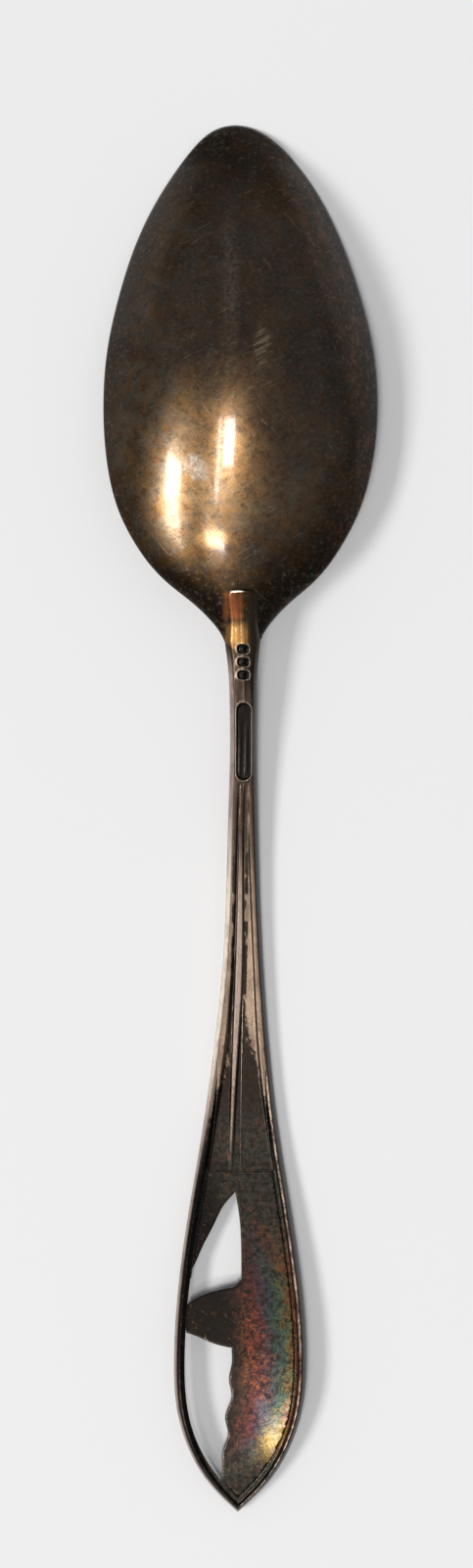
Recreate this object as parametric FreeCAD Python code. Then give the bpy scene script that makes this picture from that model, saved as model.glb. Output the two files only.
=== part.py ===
"""Souvenir spoon with a pierced handle end, lying face down: the backs of the bowl and the handle look up.

The spoon lies along Y with the bowl's tip at +Y, centred over the origin. It stands on Z = 0, on the tip of
its bowl and on a flat under its stem. Sizes are in millimetres. A station is the distance from the bowl's
tip, measured along the spoon towards the handle's point.
"""
import FreeCAD, Part
import math
import os
from FreeCAD import Vector

# Driving dimensions.
LENGTH = 146.0
LAP_START = 49.2        # station where the stem's tongue begins on the back of the bowl
LAP_END = 54.6          # station where the bowl's tab ends under the stem
BORDER_START = 97.0     # station where the border's two legs begin beside the stem
PLAQUE_START = 110.0    # station where the stem ends and the plaque begins
BORDER_WIDTH = 1.1
BEVEL_WIDTH = 0.5       # width of the sloping sides of the handle's back
BEVEL_FALL = 0.8        # how far the back falls over them
BORDER_RIM = 0.2        # width of the narrow rim between the border's bevel and its inner slope
SOLDER = 0.1            # thickness of every solder seam
BOWL_WALL = 0.9
PLAQUE_WALL = 0.8
PLAQUE_RECESS = 0.3     # depth of the plaque's edge below the border's rim
RELIEF_HEIGHT = 0.25    # how far the leaves stand out of the plaque's front
STAMP_DEPTH = 0.22
STAMP_START, STAMP_END, STAMP_HALF_WIDTH = 60.9, 69.0, 0.78
PUNCH_STATIONS, PUNCH_WIDTH, PUNCH_LENGTH = (55.3, 56.65, 58.0), 1.3, 0.95
CLEAR = 30.0            # reach of every cutting tool
MARGIN = 0.7            # how far a cutting surface runs past the piece that it cuts
BISECTIONS = 40


class Law:
    """One size as a smooth function of the station, through a few design points."""

    def __init__(self, points):
        self.curve = Part.BSplineCurve()
        self.curve.interpolate([Vector(station, value, 0) for station, value in points])

    def __call__(self, station):
        low, high = self.curve.FirstParameter, self.curve.LastParameter
        for _ in range(BISECTIONS):
            middle = (low + high) / 2
            if self.curve.value(middle).x < station:
                low = middle
            else:
                high = middle
        return self.curve.value(low).y


# The bowl: its half width, the heights of its spine and its rim, and its wall, which thickens to the neck.
bowl_half_width = Law([(0, 0.4), (0.7, 2.5), (2.3, 4.5), (4.9, 6.7), (9.5, 9.5), (13.7, 11.3), (18.5, 12.8),
                       (24, 14.0), (29.5, 14.4), (36, 13.9), (41, 12.55), (44, 11.05), (46.7, 9.2),
                       (48.7, 7.25), (50.6, 4.95), (52.2, 3.35), (53.5, 2.35), (54.6, 1.85), (56, 1.6)])
bowl_spine = Law([(-1, -0.9), (0, 0.1), (4, 3.4), (10, 6.9), (18, 9.9), (27, 11.2), (36, 10.55), (43, 9.0),
                  (49.2, 7.15), (54.6, 5.15), (56, 4.6)])
bowl_rim = Law([(-2, 0), (0, 0), (5, 0.05), (12, 0.7), (21, 2.05), (30, 3.2), (40, 4.15), (48, 4.75),
                (52, 4.6), (56, 3.9)])
bowl_wall = Law([(-2, BOWL_WALL), (20, BOWL_WALL), (42, BOWL_WALL), (47, 1.25), (51, 1.75), (56, 2.0)])

# The handle: its half width, the heights of its edge on the back and on the front, and the shape between.
handle_half_width = Law([(48, 2.0), (54.6, 1.83), (57, 1.57), (61, 1.4), (66, 1.36), (73, 1.52), (82, 1.78),
                         (90, 2.22), (98.3, 3.02), (106.6, 4.1), (114.9, 5.46), (122, 6.44), (130, 6.94),
                         (135.5, 6.5), (139.4, 5.22), (142.6, 3.33), (146, 0.0)])
tongue_half_width = Law([(48, 0.6), (49.2, 1.1), (49.5, 1.38), (50, 1.5), (51, 1.57), (52.2, 1.62),
                         (53.8, 1.75), (54.6, 1.83), (57, 1.57)])
back_height = Law([(48, 7.93), (49.2, 7.5), (52, 6.5), (54.6, 5.79), (57, 5.2), (60, 4.62), (66, 3.6),
                   (74, 2.6), (82, 2.1), (90, 1.9), (100, 1.75), (108, 1.85), (114, 2.15), (120, 2.5),
                   (126, 2.86), (131, 3.08), (134, 3.1), (137, 3.0), (140, 2.76), (143, 2.4), (147, 1.8)])
front_height = Law([(48, 6.0), (54.6, 3.9), (60, 2.6), (66, 1.45), (74, 0.42), (80, 0.0), (84, -0.08),
                    (92, -0.08), (96, 0.0), (103, 0.12), (110, 0.42), (120, 1.0), (128, 1.5),
                    (134, 1.6), (140, 1.3), (147, 0.5)])
channel_depth = Law([(48, 0), (62, 0), (69, 0), (74, 0.12), (90, 0.25), (100, 0.3), (110, PLAQUE_RECESS),
                     (112, PLAQUE_RECESS)])
rim_width = Law([(48, 0.6), (66, 0.8), (73, 0.9), (90, 0.98), (98, 1.15), (105, BORDER_WIDTH),
                 (112, BORDER_WIDTH)])
rib_half_width = Law([(48, 0.3), (73, 0.33), (82, 0.42), (90, 0.5), (98, 0.42), (105, 0.33), (112, 0.25)])
rib_middle = Law([(48, 0), (62, 0), (72, -0.2), (80, -0.32), (90, -0.48), (100, -0.77), (107, -0.95), (112, -1.0)])
rib_share = Law([(48, 1), (80, 1), (99, 1), (104, 0.8), (108, 0.15), (112, 0)])
crown_fall = Law([(48, 0.2), (50, 0.3), (52, 0.6), (54.6, 0.8), (61, BEVEL_FALL), (112, BEVEL_FALL)])
dish_depth = Law([(108, 0), (112, 0.01), (120, 0.03), (127, 0.05), (132, 0.1), (136, 0.2), (138.2, 0.2),
                  (140.5, 0.06), (142, 0.01), (147, 0)])
border_width = Law([(96, 0.1), (97, 0.15), (100, 0.6), (104, 0.98), (109, BORDER_WIDTH),
                    (125, BORDER_WIDTH), (135, BORDER_WIDTH), (140, 1.25), (143, 1.5), (147, 1.6)])


def at(station, x, z=0.0):
    """The point at a station, a distance across and a height."""
    return Vector(x, LENGTH / 2 - station, z)


def spaced(start, end, count):
    return [start + (end - start) * i / (count - 1) for i in range(count)]


def smoothstep(value, low, high):
    share = min(1.0, max(0.0, (value - low) / (high - low)))
    return share * share * (3 - 2 * share)


def face_through(rows):
    surface = Part.BSplineSurface()
    surface.interpolate(rows)
    return surface.toShape()


def above(face):
    return face.extrude(Vector(0, 0, CLEAR))


def below(face):
    return face.extrude(Vector(0, 0, -CLEAR))


def raised(face, height):
    return face.translated(Vector(0, 0, height))


def spline(points):
    curve = Part.BSplineCurve()
    curve.interpolate(points)
    return curve.toShape()


def upright(edges):
    """A tall solid over a closed plan outline."""
    wire = Part.Wire(Part.__sortEdges__(edges))
    return Part.Face(wire).translated(Vector(0, 0, -CLEAR / 2)).extrude(Vector(0, 0, CLEAR))


def band(outer, inner, stations):
    """A tall solid between two distances from the centreline, over a run of stations."""
    start, end = stations[0], stations[-1]
    edges = [spline([at(s, outer(s)) for s in stations]), spline([at(s, inner(s)) for s in stations])]
    for s in (start, end):
        if abs(outer(s) - inner(s)) > 1e-6:
            edges.append(Part.makeLine(at(s, outer(s)), at(s, inner(s))))
    return upright(edges)


def symmetric(half_width, stations):
    """A tall solid of a given half width on both sides of the centreline."""
    return band(half_width, lambda s: -half_width(s), stations)


def stretch(start, end):
    """Everything between two stations."""
    return Part.makeBox(2 * CLEAR, end - start, 2 * CLEAR, Vector(-CLEAR, LENGTH / 2 - end, -CLEAR))


def level_across(law, start, end, count=30):
    """A face that follows a height law along the spoon and is level across it."""
    edge = spline([at(s, -CLEAR / 2, law(s)) for s in spaced(start, end, count)])
    return edge.extrude(Vector(CLEAR, 0, 0))


def trimmed(blank, tools):
    for tool in tools:
        blank = blank.cut(tool)
    return blank


# ---- bowl ----

TIP_STATION = 4.2       # from here to the tip the bowl's back keeps one curvature across
BOWL_ROUNDNESS = 0.7    # share of the section's fall that follows a parabola; the rest steepens to the rim


def bowl_row(station, columns=25):
    """Points across the bowl's back at a station, run on a little past the rim on both sides."""
    shaped = max(station, TIP_STATION)
    half = bowl_half_width(shaped)
    fall = bowl_spine(shaped) - bowl_rim(shaped) - 0.25
    reach = max(bowl_half_width(max(station, 0)), half if station < TIP_STATION else 0) + MARGIN
    row = []
    for x in spaced(-reach, reach, columns):
        t = x / half
        drop = fall * (BOWL_ROUNDNESS * t ** 2 + (1 - BOWL_ROUNDNESS) * t ** 4)
        row.append(at(station, x, bowl_spine(station) - drop))
    return row


def moved_inward(rows):
    """The rows of the bowl's back moved through the wall, each point along its normal."""
    moved = []
    for i, row in enumerate(rows):
        after, before = rows[min(i + 1, len(rows) - 1)], rows[max(i - 1, 0)]
        line = []
        for j, point in enumerate(row):
            along = after[j] - before[j]
            side = row[min(j + 1, len(row) - 1)] - row[max(j - 1, 0)]
            normal = along.cross(side)
            normal.normalize()
            if normal.z < 0:
                normal = normal * -1
            line.append(point - normal * bowl_wall(LENGTH / 2 - point.y))
        moved.append(line)
    return moved


BOWL_ROWS = [bowl_row(s) for s in [-1.5, 0, 1.2, 2.6, TIP_STATION] + spaced(6.5, 54, 20) + [55.5]]
bowl_back = face_through(BOWL_ROWS)
bowl_front = face_through(moved_inward([bowl_row(s) for s in [-3.0] + spaced(-1.5, 57, 28)]))


def bowl():
    stations = [0, 0.25, 0.7, 1.4, 2.3, 4.9] + spaced(7.5, 52.5, 19) + [53.6, LAP_END]
    blank = symmetric(bowl_half_width, stations)
    return trimmed(blank, [above(bowl_back), below(bowl_front), below(level_across(bowl_rim, -1.5, 56))])


# ---- stem ----

def bevel(inset):
    """How far the handle's back has fallen at a distance in from its outline."""
    share = min(1.3, max(0.0, 1 - inset / BEVEL_WIDTH))
    return BEVEL_FALL * (0.35 * share + 0.65 * share ** 2)


def stem_height(x, station):
    """The back of the stem: sloping sides, two rims, two channels and a rib, with a crown on the tongue."""
    half = tongue_half_width(station) if station < LAP_END else handle_half_width(station)
    u = abs(x)
    inner = half - rim_width(station)
    channel = 1 - smoothstep(u, inner - 0.22, inner + 0.1)
    rib_half, aside = rib_half_width(station), abs(x - rib_middle(station))
    rib = rib_share(station) * (1 - smoothstep(aside, rib_half - 0.2, rib_half))
    crowned = 1 - smoothstep(station, 56, 62)
    crown = crown_fall(station) * crowned * min(1.4, u / half) ** 4 + (1 - crowned) * bevel(half - u)
    return back_height(station) - channel_depth(station) * channel * (1 - rib) - crown


def stem_row(station, columns=41):
    """Points across the back of the stem at a station, run on a little past both sides."""
    half = tongue_half_width(station) if station < LAP_END else handle_half_width(station)
    return [at(station, x, stem_height(x, station)) for x in spaced(-half - MARGIN, half + MARGIN, columns)]


stem_back = face_through([stem_row(s) for s in spaced(48.2, 112, 34)])
front_face = level_across(front_height, 47, 147)
UNDERGROUND = Part.makeBox(2 * LENGTH, 2 * LENGTH, CLEAR, Vector(-LENGTH, -LENGTH, -CLEAR))


def slot(start, end, half_width):
    """A tall solid over a straight slot with round ends."""
    first, last = start + half_width, end - half_width
    edges = [Part.makeLine(at(first, side * half_width), at(last, side * half_width)) for side in (-1, 1)]
    edges.append(Part.Arc(at(first, -half_width), at(start, 0), at(first, half_width)).toShape())
    edges.append(Part.Arc(at(last, -half_width), at(end, 0), at(last, half_width)).toShape())
    return upright(edges)


def struck(plan):
    """The pocket that a punch of the given plan leaves in the back of the stem."""
    return plan.common(above(raised(stem_back, -STAMP_DEPTH)))


def stem_plan():
    """The stem's outline: the tongue, the neck and the part that runs in between the border's legs."""
    tongue = symmetric(tongue_half_width, [LAP_START, 49.5, 50.0] + spaced(51, LAP_END, 5))
    neck = symmetric(handle_half_width, spaced(LAP_END, BORDER_START, 24))
    inner = symmetric(border_inner, spaced(BORDER_START, PLAQUE_START, 12))
    return tongue.fuse([neck, inner]).removeSplitter()


def under_lap():
    """The space under the solder of the lap: the bowl's tab and the solder round it."""
    return below(raised(bowl_back, SOLDER)).common(stretch(LAP_START - 2, LAP_END + SOLDER))


def stem():
    blank = stem_plan()
    tools = [above(stem_back), below(front_face), UNDERGROUND, under_lap()]
    tools.append(struck(slot(STAMP_START, STAMP_END, STAMP_HALF_WIDTH)))
    for station in PUNCH_STATIONS:
        corner = at(station + PUNCH_LENGTH / 2, -PUNCH_WIDTH / 2, -CLEAR / 2)
        tools.append(struck(Part.makeBox(PUNCH_WIDTH, PUNCH_LENGTH, CLEAR, corner)))
    return trimmed(blank, tools)


def bowl_solder_seam():
    tongue = stem_plan().common(stretch(LAP_START - 1, LAP_END + SOLDER))
    tab = below(bowl_back).common(stretch(LAP_START - 3, LAP_END))
    return trimmed(tongue, [above(raised(bowl_back, SOLDER)), below(front_face), tab])


# ---- border ----

def border_inner(station):
    return handle_half_width(station) - border_width(station)


def apex(law, low=140.0, high=LENGTH):
    """The station where a half width runs out."""
    for _ in range(BISECTIONS):
        middle = (low + high) / 2
        if law(middle) > 0:
            low = middle
        else:
            high = middle
    return low


def border_row(station, columns=13):
    """Points across the right leg of the border: the bevel, the rim and the slope down to the plaque."""
    outer = handle_half_width(station)
    row = []
    for inset in spaced(-0.35, border_width(station) + 0.35, columns):
        slope = PLAQUE_RECESS * smoothstep(inset, BEVEL_WIDTH + BORDER_RIM / 2, BORDER_WIDTH)
        row.append(at(station, outer - inset, back_height(station) - slope - bevel(inset)))
    return row[::-1]


def terminal_border():
    outer = [at(s, handle_half_width(s)) for s in spaced(BORDER_START, 143, 30) + [144.5, LENGTH]]
    end = apex(border_inner)
    inner = [at(s, border_inner(s)) for s in spaced(BORDER_START, 142, 30) + [(142 + end) / 2]]
    inner.append(at(end, 0))
    edges = [spline(outer), spline(inner), Part.makeLine(outer[0], inner[0]),
             Part.makeLine(inner[-1], outer[-1])]
    top = face_through([border_row(s) for s in spaced(96.5, 147, 36)])
    right = trimmed(upright(edges), [above(top), below(front_face)])
    left = right.mirror(Vector(0, 0, 0), Vector(1, 0, 0))
    return right.fuse(left)


# ---- plaque ----

FIELD_END = apex(lambda s: border_inner(s) - SOLDER)
UPPER_OPENING_LEFT = [(112.3, -0.5), (113.8, -1.8), (115.9, -2.85), (118.0, -3.95), (120.0, -4.85),
                      (122.0, -6.3)]
UPPER_OPENING_FOOT = [(124.4, -6.3), (123.1, -4.0), (122.2, -0.6)]
UPPER_OPENING_RIGHT = [(121.4, 0.15), (119.0, 0.15), (115.0, -0.05), (112.3, -0.5)]
LOWER_OPENING_TOP = [(126.6, -7.2), (127.4, -4.5), (128.1, -2.9), (128.6, -0.9)]
LOBES, LOBE_DEPTH = 3.5, 0.26   # the leaf-like wave along the lower opening
LOWER_OPENING_END = (143.0, -2.0)
TWIG = [(112.5, 1.6), (120, 2.6), (128, 2.2), (136, 0.9), (141, 0.2)]
TWIG_WIDTH = 0.5
LEAF_STATIONS, LEAF_LENGTH, LEAF_WIDTH, LEAF_ANGLE = (115, 119.5, 124, 128.5, 133), 3.4, 1.5, 38


def plaque_height(x, station):
    share = min(1.2, abs(x) / max(handle_half_width(station) - BORDER_WIDTH, 1.5))
    return back_height(station) - PLAQUE_RECESS - dish_depth(station) * (1 - share ** 2)


def plaque_row(station, columns=21):
    reach = max(handle_half_width(station), 1.5) + MARGIN
    return [at(station, x, plaque_height(x, station)) for x in spaced(-reach, reach, columns)]


plaque_back = face_through([plaque_row(s) for s in spaced(109, 146, 30)])
plaque_front = raised(plaque_back, -PLAQUE_WALL)


def field(half_width, start, end):
    """The pointed-oval plan of a given half width from a straight top to its apex."""
    stations = spaced(start, end - 1.2, 24)
    right = [at(s, half_width(s)) for s in stations] + [at(end, 0)]
    left = [Vector(-p.x, p.y, 0) for p in right]
    return upright([spline(right), spline(left), Part.makeLine(right[0], left[0])])


def upper_opening():
    chains = [UPPER_OPENING_LEFT, UPPER_OPENING_FOOT, UPPER_OPENING_RIGHT]
    edges = [spline([at(s, x) for s, x in chain]) for chain in chains]
    for one, other in zip(chains, chains[1:]):
        edges.append(Part.makeLine(at(*one[-1]), at(*other[0])))
    return upright(edges)


def lower_opening():
    """The opening below the bridge; its inner side runs in shallow waves like the edge of a leaf."""
    first, last = LOWER_OPENING_TOP[-1], LOWER_OPENING_END
    wave = []
    for share in spaced(0, 1, 22):
        swing = LOBE_DEPTH * math.sin(2 * math.pi * LOBES * share) * math.sin(math.pi * share)
        station = first[0] + (last[0] - first[0]) * share
        wave.append(at(station, first[1] + (last[1] - first[1]) * share ** 1.6 + swing))
    far = at(LOWER_OPENING_TOP[0][0], LOWER_OPENING_TOP[0][1])
    corner = at(LOWER_OPENING_END[0] - 2.5, LOWER_OPENING_TOP[0][1])
    return upright([spline([at(s, x) for s, x in LOWER_OPENING_TOP]), spline(wave),
                    Part.makeLine(wave[-1], corner), Part.makeLine(corner, far)])


def leaf(station, x, side):
    """The plan of one leaf growing from the twig towards one side and the handle's point."""
    angle = math.radians(LEAF_ANGLE) * side
    start = at(station, x)
    along = Vector(math.sin(angle), -math.cos(angle), 0)
    across = Vector(along.y, -along.x, 0)
    tip = start + along * LEAF_LENGTH
    middle = start + along * (LEAF_LENGTH * 0.45)
    bulges = [across * (LEAF_WIDTH * sign / 2) for sign in (-1, 1)]
    return upright([Part.Arc(start, middle + bulge, tip).toShape() for bulge in bulges])


def leaf_spray():
    """The relief on the plaque's front: a twig and pairs of leaves."""
    line = Law(TWIG)
    stations = spaced(TWIG[0][0], TWIG[-1][0], 12)
    twig = band(lambda s: line(s) + TWIG_WIDTH / 2, lambda s: line(s) - TWIG_WIDTH / 2, stations)
    leaves = [leaf(s, line(s), side) for s in LEAF_STATIONS for side in (-1, 1)]
    raised_part = twig.fuse(leaves)
    return trimmed(raised_part, [above(plaque_front), below(raised(plaque_front, -RELIEF_HEIGHT))])


def relief_plaque():
    plan = field(lambda s: border_inner(s) - SOLDER, PLAQUE_START + SOLDER, FIELD_END)
    plan = trimmed(plan, [upper_opening(), lower_opening()])
    sheet = trimmed(plan, [above(plaque_back), below(plaque_front)])
    return sheet.fuse(leaf_spray().common(plan))


def plaque_seams():
    """The solder round the plaque: the long seam first, then the short one at the bridge."""
    whole = field(border_inner, PLAQUE_START, apex(border_inner))
    plaque = field(lambda s: border_inner(s) - SOLDER, PLAQUE_START + SOLDER, FIELD_END)
    tools = [plaque, upper_opening(), lower_opening(), above(plaque_back), below(plaque_front)]
    return sorted(trimmed(whole, tools).Solids, key=lambda solid: -solid.Volume)


def main():
    long_seam, bridge_seam = plaque_seams()
    pieces = {"bowl": bowl(), "stem": stem(), "terminal_border": terminal_border(),
              "relief_plaque": relief_plaque(), "bowl_solder_seam": bowl_solder_seam(),
              "plaque_solder_seam": long_seam, "bridge_solder_seam": bridge_seam}
    os.makedirs("parts", exist_ok=True)
    for name, shape in pieces.items():
        shape.exportStep("parts/%s.step" % name)


main()
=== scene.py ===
"""Looks of the souvenir spoon. It lies face down; its bowl's tip is at +Y and its back looks up."""
import math

import bmesh
import bpy
import numpy as np
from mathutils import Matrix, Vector
from mathutils.geometry import delaunay_2d_cdt


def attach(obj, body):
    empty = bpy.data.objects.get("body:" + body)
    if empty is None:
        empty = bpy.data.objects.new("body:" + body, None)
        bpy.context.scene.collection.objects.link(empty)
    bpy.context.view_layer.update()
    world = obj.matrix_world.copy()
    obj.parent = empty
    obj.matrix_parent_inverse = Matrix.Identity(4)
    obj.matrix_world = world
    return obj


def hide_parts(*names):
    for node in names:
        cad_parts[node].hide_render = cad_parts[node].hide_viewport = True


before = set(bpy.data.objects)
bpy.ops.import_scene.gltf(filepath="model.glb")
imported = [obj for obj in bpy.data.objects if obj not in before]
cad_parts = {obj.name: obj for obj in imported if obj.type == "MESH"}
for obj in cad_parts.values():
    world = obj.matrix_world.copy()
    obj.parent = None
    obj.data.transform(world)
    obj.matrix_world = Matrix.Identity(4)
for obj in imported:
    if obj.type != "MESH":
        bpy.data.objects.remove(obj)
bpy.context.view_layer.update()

MM = 0.001
LENGTH = 146.0
LAP_START, LAP_END = 49.2, 54.6
BORDER_START, PLAQUE_START = 97.0, 110.0
BORDER_WIDTH = 1.1
BEVEL_WIDTH = 0.5
BEVEL_FALL = 0.8
BORDER_RIM = 0.2
SOLDER = 0.1
BOWL_WALL = 0.9
PLAQUE_WALL = 0.8
PLAQUE_RECESS = 0.3
STAMP_DEPTH = 0.2
STAMP_START, STAMP_END, STAMP_HALF_WIDTH = 60.9, 69.0, 0.78
PUNCH_STATIONS, PUNCH_WIDTH, PUNCH_LENGTH = (55.3, 56.65, 58.0), 1.3, 0.95


# ---------------------------------------------------------------- sizes along the spoon

def bends(u, v):
    """Second derivatives of the natural cubic spline through v at u."""
    n = len(u)
    a = np.zeros((n, n))
    b = np.zeros(n)
    a[0, 0] = a[-1, -1] = 1
    h = np.diff(u)
    for i in range(1, n - 1):
        a[i, i - 1:i + 2] = h[i - 1], 2 * (h[i - 1] + h[i]), h[i]
        b[i] = 6 * ((v[i + 1] - v[i]) / h[i] - (v[i] - v[i - 1]) / h[i - 1])
    return np.linalg.solve(a, b)


def spline_through(points, samples=6000):
    """Dense points on a smooth curve through a few design points."""
    p = np.array(points, float)
    u = np.concatenate([[0], np.cumsum(np.hypot(*np.diff(p, axis=0).T[:2]))])
    w = np.linspace(0, u[-1], samples)
    i = np.clip(np.searchsorted(u, w, side="right") - 1, 0, len(u) - 2)
    h, left, right = u[i + 1] - u[i], u[i + 1] - w, w - u[i]
    out = []
    for v in p.T:
        m = bends(u, v)
        out.append(m[i] * left ** 3 / (6 * h) + m[i + 1] * right ** 3 / (6 * h)
                   + (v[i] / h - m[i] * h / 6) * left + (v[i + 1] / h - m[i + 1] * h / 6) * right)
    return np.array(out).T


class Law:
    """One size, in millimetres, as a smooth function of the distance from the bowl's tip."""

    def __init__(self, points):
        self.line = spline_through(points)

    def __call__(self, station):
        return np.interp(station, self.line[:, 0], self.line[:, 1])


bowl_half_width = Law([(0, 0.0), (0.15, 1.1), (0.7, 2.5), (2.3, 4.5), (4.9, 6.7), (9.5, 9.5), (13.7, 11.3),
                       (18.5, 12.8), (24, 14.0), (29.5, 14.4), (36, 13.9), (41, 12.55), (44, 11.05),
                       (46.7, 9.2), (48.7, 7.25), (50.6, 4.95), (52.2, 3.35), (53.5, 2.35), (54.6, 1.85),
                       (56, 1.6)])
bowl_spine = Law([(-1, -0.9), (0, 0.1), (4, 3.4), (10, 6.9), (18, 9.9), (27, 11.2), (36, 10.55), (43, 9.0),
                  (49.2, 7.15), (54.6, 5.15), (56, 4.6)])
bowl_rim = Law([(-2, 0), (0, 0), (5, 0.05), (12, 0.7), (21, 2.05), (30, 3.2), (40, 4.15), (48, 4.75),
                (52, 4.6), (56, 3.9)])
bowl_wall = Law([(-2, BOWL_WALL), (20, BOWL_WALL), (42, BOWL_WALL), (47, 1.25), (51, 1.75), (56, 2.0)])
handle_half_width = Law([(48, 2.0), (54.6, 1.83), (57, 1.57), (61, 1.4), (66, 1.36), (73, 1.52), (82, 1.78),
                         (90, 2.22), (98.3, 3.02), (106.6, 4.1), (114.9, 5.46), (122, 6.44), (130, 6.94),
                         (135.5, 6.5), (139.4, 5.22), (142.6, 3.33), (146, 0.0)])
tongue_half_width = Law([(48, 0.6), (49.2, 1.1), (49.5, 1.38), (50, 1.5), (51, 1.57), (52.2, 1.62),
                         (53.8, 1.75), (54.6, 1.83), (57, 1.57)])
back_height = Law([(48, 7.93), (49.2, 7.5), (52, 6.5), (54.6, 5.79), (57, 5.2), (60, 4.62), (66, 3.6),
                   (74, 2.6), (82, 2.1), (90, 1.9), (100, 1.75), (108, 1.85), (114, 2.15), (120, 2.5),
                   (126, 2.86), (131, 3.08), (134, 3.1), (137, 3.0), (140, 2.76), (143, 2.4), (147, 1.8)])
front_height = Law([(48, 6.0), (54.6, 3.9), (60, 2.6), (66, 1.45), (74, 0.42), (80, 0.0), (84, 0.0),
                    (92, 0.0), (96, 0.0), (103, 0.12), (110, 0.42), (120, 1.0), (128, 1.5),
                    (134, 1.6), (140, 1.3), (147, 0.5)])
channel_depth = Law([(48, 0), (62, 0), (69, 0), (74, 0.12), (90, 0.25), (100, 0.3), (110, PLAQUE_RECESS),
                     (112, PLAQUE_RECESS)])
rim_width = Law([(48, 0.6), (66, 0.8), (73, 0.9), (90, 0.98), (98, 1.15), (105, BORDER_WIDTH),
                 (112, BORDER_WIDTH)])
rib_half_width = Law([(48, 0.3), (73, 0.33), (82, 0.42), (90, 0.5), (98, 0.42), (105, 0.33), (112, 0.25)])
rib_middle = Law([(48, 0), (62, 0), (72, -0.2), (80, -0.32), (90, -0.48), (100, -0.77), (107, -0.95),
                  (112, -1.0)])
rib_share = Law([(48, 1), (80, 1), (99, 1), (104, 0.8), (108, 0.15), (112, 0)])
crown_fall = Law([(48, 0.2), (50, 0.3), (52, 0.6), (54.6, 0.8), (61, BEVEL_FALL), (112, BEVEL_FALL)])
dish_depth = Law([(108, 0), (112, 0.01), (120, 0.03), (127, 0.05), (132, 0.1), (136, 0.2), (138.2, 0.2),
                  (140.5, 0.06), (142, 0.01), (147, 0)])
border_width = Law([(96, 0.1), (97, 0.15), (100, 0.6), (104, 0.98), (109, BORDER_WIDTH),
                    (125, BORDER_WIDTH), (135, BORDER_WIDTH), (140, 1.25), (143, 1.5), (147, 1.6)])
# how far years of use have bent the spoon sideways
bow = Law([(-1, -0.48), (0, -0.43), (2.2, -0.2), (10, -0.02), (22, 0.0), (34, -0.06), (46, -0.2),
           (52, 0.05), (58, 0.24), (75, 0.33), (90, 0.34), (98, 0.2), (110, 0.05), (118, 0), (130, 0),
           (138, -0.08), (146, -0.2), (147, -0.22)])


def smoothstep(value, low, high):
    share = np.clip((value - low) / (high - low), 0, 1)
    return share * share * (3 - 2 * share)


def row_frame(x, station, z):
    """Millimetres across, along and up to a point of the row's frame in metres."""
    return np.stack([x + bow(station), LENGTH / 2 - station, z], -1) * MM


def right_span(points):
    """Distance of points, in metres, from the handle's right outline, in millimetres."""
    station = LENGTH / 2 - np.array(points)[:, 1] / MM
    return handle_half_width(station) + bow(station) - np.array(points)[:, 0] / MM


def add_piece(name, points, faces, slot, replaced, **fields):
    """A closed mesh that replaces CAD nodes; fields are per-point values for its material to use."""
    mesh = bpy.data.meshes.new(name)
    mesh.from_pydata([tuple(p) for p in points], [], [tuple(int(i) for i in f) for f in faces])
    fields["span"] = right_span(points)
    for field, values in fields.items():
        data = mesh.attributes.new(field, "FLOAT", "POINT").data
        data.foreach_set("value", np.ravel(values).astype(np.float32))
    shell = bmesh.new()
    shell.from_mesh(mesh)
    bmesh.ops.recalc_face_normals(shell, faces=shell.faces)
    shell.to_mesh(mesh)
    shell.free()
    piece = bpy.data.objects.new(name, mesh)
    bpy.context.scene.collection.objects.link(piece)
    for polygon in mesh.polygons:
        polygon.use_smooth = polygon.loop_total <= 4   # the many-sided end caps stay flat
    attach(piece, "root")
    if replaced:
        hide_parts(*replaced)
    return piece


def grid_faces(rows, columns, start=0, closed=False, flip=False):
    """Quads over a grid of points; closed joins the last column to the first."""
    faces = []
    for i in range(rows - 1):
        for j in range(columns if closed else columns - 1):
            a, b = start + i * columns + j, start + i * columns + (j + 1) % columns
            quad = (a, b, b + columns, a + columns)
            faces.append(quad[::-1] if flip else quad)
    return faces


# ---------------------------------------------------------------- bowl

TIP_STATION = 4.2
BOWL_ROUNDNESS = 0.7
BACK_EDGE = 0.25
BOWL_MIDDLE = (0.0, 27.0)
TAB_POINTS = 7
# share of the way in across the rim, and the lift above its level there
RIM_STEPS = ((0.0, 0.16), (0.06, 0.07), (0.16, 0.015), (0.4, 0.0), (0.72, 0.0), (0.92, 0.03))
RIM_BELOW_BACK = 0.02
INNER_EDGE_LIFT = 0.06


def bowl_back(x, station):
    """Height of the bowl's back, which ends a little above the rim's level at the outline."""
    shaped = np.maximum(station, TIP_STATION)
    half = bowl_half_width(shaped)
    fall = bowl_spine(shaped) - bowl_rim(shaped) - BACK_EDGE
    t = x / half
    return bowl_spine(station) - fall * (BOWL_ROUNDNESS * t ** 2 + (1 - BOWL_ROUNDNESS) * t ** 4)


def bowl_outline(count):
    """Points round the bowl's plan, evenly spaced, from the tip over +X to the tab and back over -X."""
    fine = np.concatenate([np.linspace(0, 1.6, 400) ** 2, np.linspace(2.6, LAP_END, 800)])
    right = np.stack([bowl_half_width(fine), fine], -1)
    run = np.concatenate([[0], np.cumsum(np.hypot(*np.diff(right, axis=0).T))])
    u = np.linspace(0, run[-1], count)
    right = np.stack([np.interp(u, run, right[:, 0]), np.interp(u, run, right[:, 1])], -1)
    right[0, 0] = 0
    width = right[-1, 0]
    end = np.stack([np.linspace(width, -width, TAB_POINTS + 2)[1:-1], np.full(TAB_POINTS, LAP_END)], -1)
    return np.concatenate([right, end, (right * (-1, 1))[:0:-1]])


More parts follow.
